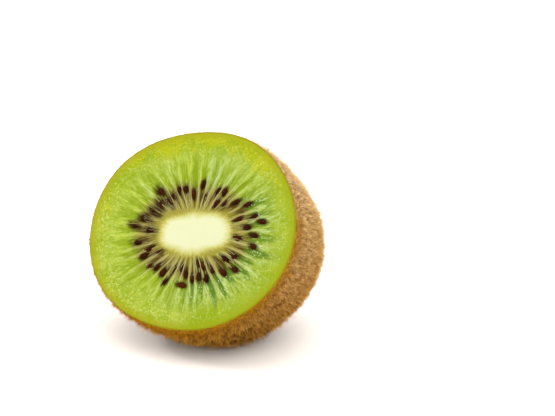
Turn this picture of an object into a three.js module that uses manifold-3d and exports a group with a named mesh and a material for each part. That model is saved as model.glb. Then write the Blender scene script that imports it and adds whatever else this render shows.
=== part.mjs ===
// Half of a kiwi fruit, cut across its middle and lying on its skin with the cut face tipped up.
// Millimetres, +Z up. The fruit is built in its own frame first: the cut face is the plane z = 0, its
// outward normal is +z and the tail of the fruit points along -z. The mesh then leans back as the half lies.
import * as THREE from 'three';
import { mergeVertices } from 'three/addons/utils/BufferGeometryUtils.js';
import Module from 'manifold-3d';

// Driving dimensions.
const FACE_WIDTH = 51.8; // the cut face along the ground
const FACE_HEIGHT = 46.4; // the cut face from its lower edge to its upper edge
const BODY_DEPTH = 32; // from the cut to the shoulder of the tail
const BODY_FULLNESS = 2.6; // 2 is an ellipsoid, and more is a fuller body
const LEAN_DEG = 32.3; // the face's normal above the ground
const NOSE_HEIGHT = 1.5; // the tip of the tail beyond its shoulder
const NOSE_RADIUS = 7.5;
const SCAR_HEIGHT = 0.6; // the dry button where the flower was
const SCAR_RADIUS = 2.3;
const REST_SPOT_DEPTH = 0.45; // how far the soft skin is flattened by the ground

const CORE_WIDTH = 17.2; // the pale pith
const CORE_HEIGHT = 9.8;
const CORE_SQUARENESS = 3.4; // 2 is an ellipse, and more is a rectangle with round corners
const CORE_CENTRE = new THREE.Vector2(1.5, -1);
const CORE_TURN_DEG = 8;
const CORE_RISE = 0.3; // the firm pith stands a little above the flesh

const FLESH_SWELL = 0.55; // the flesh bulges out of the skin's cut edge
const SWELL_SHARPNESS = 14; // a high power keeps the bulge flat until close to the edge
const LOCULES = 36; // seed chambers, with a pale wall between each pair
const LOCULE_DEPTH = 0.3;
const LOCULE_START = 0.02; // shares of the way from the pith to the skin
const LOCULE_END = 0.74;

const SEED_SCATTER = 150.44; // picks one of many scatters of the seeds
const SEED_RING_WIDTH = 26.8;
const SEED_RING_HEIGHT = 19.6;
const SEED_RING_SPREAD = 0.2; // how far a seed strays from the ring, as a share of its radius
const SEED_SIDE_SPREAD = 0.3; // how far it strays sideways, as a share of its chamber
const SEED_SECOND_STEP = 0.3; // a second seed lies this share further in or out
const SEED_SECOND_SHARE = 0.34; // the share of the chambers that hold a second seed
const LOOSE_SEED = { angleDeg: 272, share: 1.22, yawDeg: 88 }; // it has turned across its chamber
const SEED_LENGTH = 2.35;
const SEED_WIDTH = 1.4;
const SEED_THICKNESS = 1.15;
const SEED_SLIMMEST = 0.62; // the slimmest seed's width and thickness, as a share of the widest one's
const SEED_SHORTEST = 0.8; // the shortest seed's length, as a share of the longest one's
const SEED_TAPER = 0.28; // the inner end is the narrower one
const SEED_SHOWS = 0.55; // share of its thickness above the flesh
const SEED_YAW_DEG = 14; // the most a seed turns away from its ray

// Slow waves that make the outline uneven: waves round the fruit, share of the radius, and phase.
const OUTLINE_WAVES = [
  { count: 1, share: 0.0095, phaseDeg: -48 },
  { count: 2, share: 0.0042, phaseDeg: 27 },
  { count: 3, share: 0.0056, phaseDeg: -137 },
  { count: 4, share: 0.006, phaseDeg: -126 },
  { count: 5, share: 0.006, phaseDeg: 12 },
];

// Slow waves round the belly, halfway between the cut and the tail: waves round the fruit, height, phase.
const BELLY_WAVES = [
  { count: 1, height: 0.4, phaseDeg: -140 },
  { count: 2, height: 0.8, phaseDeg: -25 },
  { count: 3, height: 1, phaseDeg: 106 },
];

const STEPS_ROUND = LOCULES * 4;
const SKIN_ROWS = 15;
const ROWS_TOWARDS_TAIL = 1.6; // more than 1 crowds the rows at the tail
const CORE_RINGS = [0.45, 0.85, 1];
const FLESH_RINGS = [0.05, 0.14, 0.26, 0.4, 0.56, 0.72, 0.84, 0.93, 0.98];
const SEED_SIDES = 6;
const SEED_BANDS = 4;

const FLESH_COLOUR = 0xaac828;

const { cos, sin, abs, hypot, PI } = Math;
const radians = THREE.MathUtils.degToRad;

// The same number from 0 to 1 for the same seed and purpose, on every run.
function draw(index, purpose) {
  const wave = sin(index * 12.9898 + purpose * 78.233 + SEED_SCATTER) * 43758.5453;
  return wave - Math.floor(wave);
}

// The sum of some slow waves at an angle round the fruit, each with its own share or height.
function waveSum(waves, angle) {
  const heights = waves.map((w) => (w.share ?? w.height) * cos(w.count * angle - radians(w.phaseDeg)));
  return heights.reduce((sum, height) => sum + height, 0);
}

// How far the face's edge is from the middle of the pith, at an angle round the pith.
function rimRadius(angle) {
  const a = FACE_WIDTH / 2;
  const b = FACE_HEIGHT / 2;
  const dx = cos(angle) / a;
  const dy = sin(angle) / b;
  const cx = CORE_CENTRE.x / a;
  const cy = CORE_CENTRE.y / b;
  const square = dx * dx + dy * dy;
  const along = dx * cx + dy * cy;
  const reach = (-along + Math.sqrt(along * along + square * (1 - cx * cx - cy * cy))) / square;
  return reach * (1 + waveSum(OUTLINE_WAVES, angle));
}

// The edge of the pith, a turned rectangle with round corners.
function coreRadius(angle) {
  const turned = angle - radians(CORE_TURN_DEG);
  const across = abs(cos(turned) / (CORE_WIDTH / 2)) ** CORE_SQUARENESS;
  const upward = abs(sin(turned) / (CORE_HEIGHT / 2)) ** CORE_SQUARENESS;
  return (across + upward) ** (-1 / CORE_SQUARENESS);
}

// 1 in the middle of a seed chamber and 0 on the walls beside it.
function chamber(angle) {
  return 0.5 - 0.5 * cos(LOCULES * angle);
}

// Height of the cut face, at an angle round the pith and a distance from its middle.
function faceHeight(angle, distance) {
  const core = coreRadius(angle);
  const rim = rimRadius(angle);
  const swell = FLESH_SWELL * (1 - (distance / rim) ** SWELL_SHARPNESS);
  if (distance <= core) return swell + CORE_RISE * (1 - (distance / core) ** 4);
  const outward = (distance - core) / (rim - core);
  const share = (outward - LOCULE_START) / (LOCULE_END - LOCULE_START);
  const hollow = share > 0 && share < 1 ? sin(PI * share ** 0.7) : 0;
  return swell - LOCULE_DEPTH * hollow * chamber(angle);
}

function facePoint(angle, distance) {
  return new THREE.Vector3(
    CORE_CENTRE.x + distance * cos(angle),
    CORE_CENTRE.y + distance * sin(angle),
    faceHeight(angle, distance),
  );
}

// A point of the skin: row 0 is the cut edge and row 1 the tip of the tail.
function skinPoint(angle, row) {
  const rim = facePoint(angle, rimRadius(angle));
  const turn = (PI / 2) * (1 - (1 - row) ** ROWS_TOWARDS_TAIL);
  const width = cos(turn) ** (2 / BODY_FULLNESS);
  const depth = sin(turn) ** (2 / BODY_FULLNESS);
  const swollen = 1 + (waveSum(BELLY_WAVES, angle) * 2 * depth * width) / (FACE_WIDTH / 2);
  const x = rim.x * width * swollen;
  const y = rim.y * width * swollen;
  const away = hypot(x, y);
  const nose = NOSE_HEIGHT * Math.exp(-((away / NOSE_RADIUS) ** 2));
  const scar = SCAR_HEIGHT * Math.exp(-((away / SCAR_RADIUS) ** 6));
  return new THREE.Vector3(x, y, -BODY_DEPTH * depth - (nose + scar) * depth ** 8);
}

// A closed surface from a first point, rings of points and a last point, each ring run the same way round.
function closedFromRings(first, rings, last) {
  const points = [first, ...rings.flat(), last];
  const count = rings[0].length;
  const triangles = [];
  for (let i = 0; i < count; i++) {
    const j = (i + 1) % count;
    triangles.push(0, 1 + i, 1 + j);
    for (let ring = 0; ring < rings.length - 1; ring++) {
      const here = 1 + ring * count;
      const next = here + count;
      triangles.push(here + i, next + i, next + j, here + i, next + j, here + j);
    }
    const end = points.length - 1;
    const outer = 1 + (rings.length - 1) * count;
    triangles.push(end, outer + j, outer + i);
  }
  const geometry = new THREE.BufferGeometry().setFromPoints(points);
  return geometry.setIndex(triangles);
}

function fruitGeometry() {
  const angles = Array.from({ length: STEPS_ROUND }, (_, i) => (2 * PI * i) / STEPS_ROUND);
  const coreRings = CORE_RINGS.map((share) => angles.map((a) => facePoint(a, share * coreRadius(a))));
  const fleshRings = FLESH_RINGS.map((share) =>
    angles.map((a) => facePoint(a, coreRadius(a) + share * (rimRadius(a) - coreRadius(a)))),
  );
  const skinRows = Array.from({ length: SKIN_ROWS }, (_, i) => i / SKIN_ROWS);
  const skinRings = skinRows.map((row) => angles.map((a) => skinPoint(a, row)));
  return closedFromRings(facePoint(0, 0), [...coreRings, ...fleshRings, ...skinRings], skinPoint(0, 1));
}

// Where a seed lies: its angle round the pith, its distance from the middle of the pith and its own turn.
function seedPlace(index, angle, share, yaw) {
  const a = SEED_RING_WIDTH / 2;
  const b = SEED_RING_HEIGHT / 2;
  const ring = (a * b) / hypot(b * cos(angle), a * sin(angle));
  return { index, angle, distance: ring * share, yaw };
}

// One seed a chamber, a second one in some of them, and the loose one.
function seedPlaces() {
  const places = [];
  const place = (chamberIndex, index, share) => {
    const aside = SEED_SIDE_SPREAD * (2 * draw(index, 5) - 1);
    const angle = (2 * PI * (chamberIndex + 0.5 + aside)) / LOCULES;
    places.push(seedPlace(index, angle, share, radians(SEED_YAW_DEG) * (2 * draw(index, 2) - 1)));
  };
  for (let i = 0; i < LOCULES; i++) {
    const share = 1 + SEED_RING_SPREAD * (2 * draw(i, 1) - 1);
    place(i, i, share);
    const step = share < 1 ? SEED_SECOND_STEP : -SEED_SECOND_STEP;
    if (draw(i, 6) < SEED_SECOND_SHARE) place(i, LOCULES + i, share + step);
  }
  const { angleDeg, share, yawDeg } = LOOSE_SEED;
  places.push(seedPlace(2 * LOCULES, radians(angleDeg), share, radians(yawDeg)));
  return places;
}

// One seed, a drop with its narrow end towards the pith, half sunk in the flesh.
function seedGeometry({ index, angle, distance, yaw }) {
  const seed = new THREE.SphereGeometry(0.5, SEED_SIDES, SEED_BANDS);
  seed.rotateZ(-PI / 2);
  const position = seed.getAttribute('position');
  for (let i = 0; i < position.count; i++) {
    const taper = 1 + SEED_TAPER * 2 * position.getX(i);
    position.setY(i, position.getY(i) * taper);
    position.setZ(i, position.getZ(i) * taper);
  }
  const slimness = THREE.MathUtils.lerp(SEED_SLIMMEST, 1, draw(index, 3));
  const shortness = THREE.MathUtils.lerp(SEED_SHORTEST, 1, draw(index, 4));
  seed.scale(SEED_LENGTH * shortness, SEED_WIDTH * slimness, SEED_THICKNESS * slimness);
  seed.rotateZ(angle + yaw);
  const place = facePoint(angle, distance);
  return seed.translate(place.x, place.y, place.z + SEED_THICKNESS * slimness * (SEED_SHOWS - 0.5));
}

const wasm = await Module();
wasm.setup();

function solidFrom(geometry) {
  const bare = geometry.clone();
  bare.deleteAttribute('normal');
  bare.deleteAttribute('uv');
  const merged = mergeVertices(bare, 1e-4);
  const vertProperties = new Float32Array(merged.getAttribute('position').array);
  const triVerts = new Uint32Array(merged.index.array);
  return new wasm.Manifold(new wasm.Mesh({ numProp: 3, vertProperties, triVerts }));
}

function geometryFrom(solid) {
  const mesh = solid.getMesh();
  const geometry = new THREE.BufferGeometry();
  geometry.setAttribute('position', new THREE.BufferAttribute(mesh.vertProperties, 3));
  geometry.setIndex(new THREE.BufferAttribute(mesh.triVerts, 1));
  geometry.computeVertexNormals();
  return geometry;
}

// The ground as a block under the leaning fruit, seen from the fruit's own frame.
function groundBlock(fruit, lean) {
  const lying = fruit.clone().applyMatrix4(lean);
  lying.computeBoundingBox();
  const middle = lying.boundingBox.getCenter(new THREE.Vector3());
  const side = 2 * FACE_WIDTH;
  const top = lying.boundingBox.min.z + REST_SPOT_DEPTH;
  const block = new THREE.BoxGeometry(side, side, side);
  block.translate(middle.x, middle.y, top - side / 2);
  return block.applyMatrix4(lean.clone().invert());
}

const leanAngle = radians(90 - LEAN_DEG);
const lean = new THREE.Matrix4().makeRotationX(leanAngle);
const fruit = fruitGeometry();
let half = solidFrom(fruit);
for (const place of seedPlaces()) half = half.add(solidFrom(seedGeometry(place)));
half = half.subtract(solidFrom(groundBlock(fruit, lean)));

const kiwiHalf = new THREE.Mesh(
  geometryFrom(half),
  new THREE.MeshStandardMaterial({ color: FLESH_COLOUR, roughness: 0.35, metalness: 0 }),
);
kiwiHalf.name = 'kiwi_half';
kiwiHalf.rotation.x = leanAngle;

// The origin is the middle of the box that the half fills, on the ground.
const group = new THREE.Group();
group.add(kiwiHalf);
const box = new THREE.Box3().setFromObject(group, true);
kiwiHalf.position.set(-(box.min.x + box.max.x) / 2, -(box.min.y + box.max.y) / 2, -box.min.z);

export default group;
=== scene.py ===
import math

import bpy
import numpy as np
from bpy.props import FloatProperty, FloatVectorProperty, IntProperty, PointerProperty
from bpy.types import Operator, Panel, PropertyGroup
from mathutils import Matrix, Vector
from mathutils.kdtree import KDTree


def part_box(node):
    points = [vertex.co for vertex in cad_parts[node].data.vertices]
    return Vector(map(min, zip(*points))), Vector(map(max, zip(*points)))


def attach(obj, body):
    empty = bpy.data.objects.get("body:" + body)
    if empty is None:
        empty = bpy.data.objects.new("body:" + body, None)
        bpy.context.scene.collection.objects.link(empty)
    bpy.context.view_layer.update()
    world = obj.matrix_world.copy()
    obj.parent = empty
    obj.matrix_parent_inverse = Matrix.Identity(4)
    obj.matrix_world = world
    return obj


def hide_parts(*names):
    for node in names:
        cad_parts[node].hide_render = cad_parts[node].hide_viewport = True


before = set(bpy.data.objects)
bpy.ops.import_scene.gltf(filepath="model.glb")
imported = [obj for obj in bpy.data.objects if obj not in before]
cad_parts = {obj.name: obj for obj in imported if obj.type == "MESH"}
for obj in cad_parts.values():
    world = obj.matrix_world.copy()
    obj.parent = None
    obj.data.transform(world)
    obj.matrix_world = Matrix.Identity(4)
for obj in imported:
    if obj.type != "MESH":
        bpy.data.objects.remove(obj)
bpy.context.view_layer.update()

bl_info = {
    "name": "Kiwi Fruit Half",
    "version": (1, 0, 0),
    "blender": (4, 5, 0),
    "location": "3D View > Sidebar > Kiwi",
    "description": "Dresses the packed solid of a kiwi fruit half with flesh, seeds, skin and fuzz",
    "category": "Object",
}

NODE = "kiwi_half"
BODY = "root"
NODE_LOW, NODE_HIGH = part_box(NODE)
MM = 0.001
TURN = 2 * math.pi

# The solid's own steps round the fruit and rows down the skin, which line the surfaces up with it.
SOLID_STEPS, SOLID_ROWS = 144, 15

# Slow waves of the outline, of the pith's edge and of the belly: how many go round the fruit, then their
# share or height, and their phase in degrees.
OUTLINE_WAVES = ((1, 0.0095, -48), (2, 0.0042, 27), (3, 0.0056, -137), (4, 0.006, -126), (5, 0.006, 12))
PITH_WAVES = (
    (1, 0.036, 0),
    (2, 0.034, 141),
    (3, 0.028, 100),
    (4, 0.068, 37),
    (6, 0.022, 28),
    (7, 0.018, 2),
)
BELLY_WAVES = ((1, 0.4 * MM, -140), (2, 0.8 * MM, -25), (3, 1.0 * MM, 106))


# ---- sizes and colours


def length(name, default, description):
    return FloatProperty(name=name, default=default, description=description, unit="LENGTH", precision=5)


def angle(name, degrees, description):
    return FloatProperty(name=name, default=math.radians(degrees), description=description, subtype="ANGLE")


def share(name, default, description):
    return FloatProperty(name=name, default=default, description=description, subtype="FACTOR", min=0, max=2)


def amount(name, default, description):
    return FloatProperty(name=name, default=default, description=description)


def count(name, default, description):
    return IntProperty(name=name, default=default, description=description, min=1)


def colour(name, default, description):
    return FloatVectorProperty(
        name=name, default=default, description=description, subtype="COLOR", size=3, min=0, max=1
    )


class FruitForm(PropertyGroup):
    """The form of the half, as the solid has it"""

    face_width: length("Face width", 51.8 * MM, "The cut face along the ground")
    face_height: length("Face height", 46.4 * MM, "The cut face from its lower to its upper edge")
    body_depth: length("Body depth", 32 * MM, "From the cut to the shoulder of the tail")
    fullness: amount("Fullness", 2.6, "2 is an ellipsoid, and more is a fuller body")
    lean: angle("Lean", 32.3, "The face's normal above the ground")
    nose_height: length("Nose height", 1.5 * MM, "The tip of the tail beyond its shoulder")
    nose_radius: length("Nose radius", 7.5 * MM, "How wide the tip of the tail is")
    scar_height: length("Scar height", 0.6 * MM, "The dry button where the flower was")
    scar_radius: length("Scar radius", 2.3 * MM, "The button's radius")
    core_width: length("Pith width", 17.2 * MM, "The pale pith along its longer side")
    core_height: length("Pith height", 9.8 * MM, "The pale pith along its shorter side")
    core_squareness: amount("Pith squareness", 3.4, "2 is an ellipse")
    core_x: length("Pith aside", 1.5 * MM, "The pith's middle beside the face's middle")
    core_y: length("Pith up", -1 * MM, "The pith's middle above the face's middle")
    core_turn: angle("Pith turn", 8, "How the pith is turned")
    core_rise: length("Pith rise", 0.3 * MM, "The firm pith stands above the flesh")
    swell: length("Flesh swell", 0.55 * MM, "The flesh bulges out of the skin's cut edge")
    swell_sharpness: amount("Swell sharpness", 14, "High keeps the bulge flat until close to the edge")


class FleshLook(PropertyGroup):
    """Seed chambers, rays and colours of the cut face"""

    chambers: count("Chambers", 36, "Seed chambers round the pith")
    chamber_depth: length("Chamber depth", 0.42 * MM, "How far the wet chambers lie below the walls")
    deep_side: angle("Deep side", -14, "Where the chambers are the deepest green")
    stained_side: angle("Stained side", 165, "Where the seeds stain the flesh between them")
    ripe_side: angle("Ripe side", 112, "Where the outer flesh is the yellowest")
    pith: colour("Pith", (0.475, 0.49, 0.305), "Cream pith")
    pith_edge: colour("Pith, edge", (0.381, 0.365, 0.097), "Yellow edge of the pith")
    inner: colour("Inner ring", (0.207, 0.182, 0.0178), "Clear olive flesh next to the pith")
    stem: colour("Walls at the seeds", (0.251, 0.215, 0.049), "Beige walls between the seeds")
    tissue: colour("Tissue", (0.211, 0.279, 0.021), "Flesh between the chambers")
    ray: colour("Rays", (0.290, 0.368, 0.118), "Pale walls between the chambers")
    ray_ripe: colour("Rays, ripe", (0.300, 0.368, 0.042), "Yellower walls on the stained side")
    outer: colour("Outer flesh", (0.276, 0.332, 0.047), "Bright flesh under the skin")
    yellow: colour("Outer flesh, yellow", (0.283, 0.304, 0.0032), "Riper stretches of the outer flesh")
    outer_cool: colour("Outer flesh, cool", (0.198, 0.268, 0.022), "Greener outer flesh on the deep side")
    outer_deep: colour("Outer flesh, deep", (0.174, 0.243, 0.0032), "Darker grain of the outer flesh")
    granule: colour("Granules", (0.385, 0.446, 0.150), "Tiny pale grains")
    edge: colour("Edge", (0.240, 0.236, 0.0052), "Flesh next to the skin")
    edge_cool: colour("Edge, cool", (0.202, 0.242, 0.0070), "Flesh next to the skin on the deep side")
    rind: colour("Rind", (0.235, 0.190, 0.0050), "Thin yellow layer that shows through at the skin")
    jelly_inner: colour("Jelly at the seeds", (0.057, 0.035, 0.0016), "Brown clear jelly round the seeds")
    jelly: colour("Jelly", (0.150, 0.219, 0.0040), "Green clear jelly outside the seeds")
    jelly_deep: colour("Jelly, deep", (0.067, 0.137, 0.0086), "The most saturated chambers")
    # Partly stained jelly and partly painted shade of a seed sunk in its chamber.
    halo: colour("Seed halo", (0.024, 0.0105, 0.0008), "Stained jelly next to a seed")
    thread: colour("Threads", (0.318, 0.272, 0.120), "Fine threads that hold the seeds")
    # Painted glints: pale specks in the base colour that stand for light shining off the wet juice.
    wet_glint: colour("Wet specks", (0.62, 0.70, 0.46), "Clear juice that catches the light")
    shine: colour("Shine", (1.0, 0.65, 0.18), "Tint of the wet shine")


class SeedLook(PropertyGroup):
    """Seeds, placed as the solid has them"""

    scatter: count("Scatter", 15044, "Picks one of many scatters, in hundredths of the solid's value")
    ring_width: length("Ring width", 26.8 * MM, "The ring of seeds along the ground")
    ring_height: length("Ring height", 19.6 * MM, "The ring of seeds upwards")
    spread: share("Spread", 0.2, "How far a seed strays from the ring")
    side_spread: share("Side spread", 0.3, "How far a seed strays sideways in its chamber")
    second_step: share("Second step", 0.3, "How much further in or out a second seed lies")
    second_share: share("Second share", 0.34, "Share of the chambers with a second seed")
    loose_angle: angle("Loose seed", 272, "Where the seed lies that has turned across its chamber")
    loose_share: share("Loose seed's ring", 1.22, "How far out it lies")
    loose_yaw: angle("Loose seed's turn", 88, "How far it has turned")
    seed_length: length("Seed length", 2.35 * MM, "From the narrow end to the round end")
    seed_width: length("Seed width", 1.4 * MM, "Across the widest seed")
    seed_thickness: length("Seed thickness", 1.15 * MM, "Out of the face")
    slimmest: share("Slimmest", 0.62, "The slimmest seed against the widest one")
    shortest: share("Shortest", 0.8, "The shortest seed against the longest one")
    taper: share("Taper", 0.28, "How much narrower the inner end is")
    shows: share("Shows", 0.55, "Share of a seed's thickness above the flesh")
    yaw: angle("Yaw", 14, "The most a seed turns from its ray")
    shell: colour("Shell", (0.0125, 0.0020, 0.0003), "Wet maroon black shell")
    # Redder patches of the shell, partly painted highlight on the wet seeds.
    shell_lit: colour("Shell, light", (0.041, 0.0085, 0.0010), "Redder patches of the shell")
    shine: colour("Shine", (1.0, 0.5, 0.2), "Tint of the wet shine")


class SkinLook(PropertyGroup):
    """The thin skin and its dry scar"""

    thickness: length("Thickness", 0.2 * MM, "Skin thickness at the cut")
    base: colour("Skin", (0.282, 0.149, 0.037), "Brown skin under the fuzz")
    # Dark freckles and patches, and painted shade on the skin near the ground.
    dark: colour("Skin, dark", (0.133, 0.056, 0.0100), "Dark freckles")
    warm: colour("Skin, warm", (0.255, 0.112, 0.0015), "Thin orange skin next to the cut")
    lip: colour("Cut edge", (0.225, 0.188, 0.0030), "The skin's own edge at the cut")
    lip_light: colour("Cut edge, light", (0.235, 0.212, 0.0045), "Lighter stretches of the cut edge")
    scar: colour("Scar", (0.060, 0.027, 0.0075), "Dry button at the tail")
    scar_light: colour("Scar, light", (0.190, 0.105, 0.040), "Worn ridges of the button")


class FuzzLook(PropertyGroup):
    """Short stiff hairs all over the skin"""

    pieces: count("Pieces", 4, "Meshes that the hairs are shared out to")
    per_piece: count("Hairs a piece", 17000, "Hairs in one mesh")
    tufts: count("Tufts", 15000, "Small tufts that the hairs lean into")
    proud: share("Proud hairs", 0.14, "Share of pale hairs that stand out of their tufts")
    hair_length: length("Hair length", 1.6 * MM, "Middle length of a hair")
    hair_radius: length("Hair radius", 0.038 * MM, "Radius at the root")
    root: colour("Root", (0.353, 0.156, 0.0115), "Colour at the root")
    tip: colour("Tip", (0.779, 0.525, 0.213), "Colour at the tip")
    # Painted highlight: paler hairs towards the top, where the light falls.
    top_highlight: colour("Crown", (0.86, 0.63, 0.34), "Paler hairs at the top")
    # Painted warm bounce light and shade on the hairs near the ground.
    below: colour("Below", (0.50, 0.185, 0.003), "Deeper colour of the hairs near the ground")
    # Painted warm bounce light on the hair tips near the ground.
    ground_bounce_tip: colour("Below, tips", (0.85, 0.44, 0.06), "Golden hairs near the ground")
    # Painted shade between the hairs near the ground.
    shade: colour("Shade", (0.045, 0.0131, 0.0016), "Roots of the hairs near the ground")
    near_cut: colour("Near the cut", (0.485, 0.214, 0.0018), "Orange hairs next to the cut edge")


class StageLook(PropertyGroup):
    """Floor, light and camera"""

    floor: colour("Floor", (0.97, 0.92, 0.86), "Plain pale floor")
    world: amount("World", 1.1, "Strength of the white surroundings")
    key: amount("Key light", 1.5, "Strength of the wide soft light above")
    fill: amount("Fill light", 1.2, "Strength of the wide soft light in front")
    window: FloatProperty(name="Window", default=0.9, description="Small light for wet glints", unit="POWER")
    distance: length("Camera distance", 420 * MM, "From the middle of the cut face")
    azimuth: angle("Azimuth", 31.8, "Camera to the right")
    elevation: angle("Elevation", 17.4, "Camera above the ground")


# ---- the fruit's surfaces


def smooth(low, high, values):
    """0 at low, 1 at high and a soft step between them."""
    t = np.clip((values - low) / (high - low), 0, 1)
    return t * t * (3 - 2 * t)


def unit(vectors):
    return vectors / np.maximum(np.linalg.norm(vectors, axis=-1, keepdims=True), 1e-12)


def wave_sum(waves, at):
    return sum(height * np.cos(n * at - math.radians(phase)) for n, height, phase in waves)


def round_angles(steps):
    return np.linspace(0, TURN, steps, endpoint=False)


def grid(rows, steps):
    """The row and the angle of each point of a grid round the fruit."""
    return np.meshgrid(rows, round_angles(steps), indexing="ij")


class Fruit:
    """Surfaces of the half in metres. Its own frame has the cut face at z = 0 and the tail along -z."""

    def __init__(self, form):
        self.form = form
        self.turn = np.array(Matrix.Rotation(math.pi / 2 - form.lean, 3, "X"))
        row, at = grid(np.linspace(0, 1, SOLID_ROWS, endpoint=False), SOLID_STEPS)
        lying = self.skin(at, row).reshape(-1, 3) @ self.turn.T
        low, high = lying.min(0), lying.max(0)
        shift = np.array(NODE_LOW + NODE_HIGH) / 2 - (low + high) / 2
        self.origin = np.array([*shift[:2], NODE_HIGH.z - high[2]])

    def rim(self, at):
        """How far the face's edge is from the middle of the pith."""
        form = self.form
        a, b = form.face_width / 2, form.face_height / 2
        dx, dy, cx, cy = np.cos(at) / a, np.sin(at) / b, form.core_x / a, form.core_y / b
        square, along = dx * dx + dy * dy, dx * cx + dy * cy
        reach = (-along + np.sqrt(along * along + square * (1 - cx * cx - cy * cy))) / square
        return reach * (1 + wave_sum(OUTLINE_WAVES, at))

    def core(self, at):
        """The edge of the pith, a turned rectangle with round corners."""
        form, power = self.form, self.form.core_squareness
        across = np.abs(np.cos(at - form.core_turn) / (form.core_width / 2)) ** power
        upward = np.abs(np.sin(at - form.core_turn) / (form.core_height / 2)) ** power
        return (across + upward) ** (-1 / power)

    def outward(self, at, distance):
        """0 at the pith's edge and 1 at the skin."""
        core = self.core(at)
        return (distance - core) / (self.rim(at) - core)

    def swollen(self, at, distance):
        """Height of the cut face without its chambers."""
        form = self.form
        swell = form.swell * (1 - (distance / self.rim(at)) ** form.swell_sharpness)
        return swell + form.core_rise * (1 - np.clip(distance / self.core(at), 0, 1) ** 4)

    def face(self, at, distance, height):
        x = self.form.core_x + distance * np.cos(at)
        return np.stack([x, self.form.core_y + distance * np.sin(at), height], -1)

    def profile(self, row):
        """Shares of the full width and of the full depth at a row of the skin."""
        turn, power = math.pi / 2 * (1 - (1 - row) ** 1.6), 2 / self.form.fullness
        return np.clip(np.cos(turn), 0, 1) ** power, np.sin(turn) ** power

    def depth(self, row):
        """How far a row of the skin is from the cut, without the tail's nose."""
        return self.form.body_depth * self.profile(row)[1]

    def skin(self, at, row, inset=0.0):
        """A point of the skin, or of a surface inset below it: row 0 is the cut edge and 1 the tail's tip."""
        form = self.form
        rim = self.face(at, self.rim(at) - inset, 0 * at)
        width, depth = self.profile(row)
        swollen = 1 + wave_sum(BELLY_WAVES, at) * 2 * depth * width / (form.face_width / 2)
        x, y = rim[..., 0] * width * swollen, rim[..., 1] * width * swollen
        away = np.hypot(x, y)
        nose = form.nose_height * np.exp(-((away / form.nose_radius) ** 2))
        scar = form.scar_height * np.exp(-((away / form.scar_radius) ** 6))
        return np.stack([x, y, -(form.body_depth - inset) * depth - (nose + scar) * depth**8], -1)

    def tip(self, inset=0.0):
        """The tail's tip, as a list of one point."""
        return self.skin(np.zeros(1), np.ones(1), inset)

    def place(self, points):
        """From the fruit's frame to where the half lies, flattened by the ground."""
        lying = points @ self.turn.T + self.origin
        lying[..., 2] = np.maximum(lying[..., 2], NODE_LOW.z)
        return lying


class Cut:
    """Seed chambers of the cut face, with a pale wall between each pair."""

    wall_thickness = (0.12 * MM, 0.26 * MM)
    wall_rise = 0.07 * MM
    # Where the chambers begin and where they end, as shares of the way from the pith to the skin.
    begin, ends = 0.02, (0.68, 1.0)

    def __init__(self, fruit, look):
        self.fruit, self.look, number = fruit, look, look.chambers
        rng = np.random.default_rng(11)
        pitch = TURN / number
        walls = (np.arange(number) + rng.uniform(-0.2, 0.2, number)) * pitch
        self.walls = np.concatenate([walls[-1:] - TURN, walls, walls[:2] + TURN])
        self.thickness = rng.uniform(*self.wall_thickness, number)
        fullness = rng.uniform(0.5, 1.0, number)
        self.end = rng.uniform(*self.ends, number)
        self.middles = (np.arange(number) + 0.5) * pitch
        towards = np.cos(self.middles - look.deep_side)
        self.tone = np.clip(0.5 + 0.42 * towards + rng.normal(0, 0.16, number), 0, 1)
        self.fullness = np.maximum(fullness, 0.95 * self.tone)

    def bend(self, at, outward):
        """How far the walls sway from straight rays."""
        sway = 0.016 * np.sin(6 * outward + 3 * np.sin(4 * at))
        return sway + 0.004 * np.sin(17 * outward + 4 * np.sin(7 * at + 1))

    def masks(self, at, distance):
        """Chamber, wall and tone: 1 within a chamber, 1 on a wall, and how deep a green the chamber is."""
        number, outward = self.look.chambers, self.fruit.outward(at, distance)
        bent = np.mod(at + self.bend(at, outward), TURN)
        i = np.searchsorted(self.walls, bent, side="right") - 1
        left, right = self.walls[i], self.walls[i + 1]
        aside = (bent - left) / (right - left)
        across = np.abs(2 * aside - 1)
        chamber = (i - 1) % number
        thickness = self.thickness[np.where(aside < 0.5, chamber, i % number)]
        half = (right - left) / 2 * distance
        along = (outward - self.begin) / (self.end[chamber] - self.begin)
        taper = np.sqrt(1 - np.clip((along - 0.2) / 0.8, 0, 1) ** 1.2)
        width = (0.7 + 0.25 * smooth(0, 0.3, along)) * taper - thickness / half
        hollow = smooth(1.2, 0.45, across / np.maximum(width, 0.02)) * self.fullness[chamber]
        hollow *= smooth(0, 0.06, along) * smooth(1, 0.5, along)
        from_wall = (1 - across) * half / (thickness * (1 + 2.2 * np.clip(outward, 0, 1)))
        ray = np.exp(-(from_wall**2)) * smooth(0.86, 0.45, outward)
        return hollow, ray * (1 - hollow), np.interp(bent, self.middles, self.tone, period=TURN)

    def height(self, at, distance):
        hollow, ray, tone = self.masks(at, distance)
        sunk = self.look.chamber_depth * hollow * (0.6 + 0.4 * tone)
        raised = self.wall_rise * ray * smooth(0.0, 0.1, self.fruit.outward(at, distance))
        return self.fruit.swollen(at, distance) - sunk + raised


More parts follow.
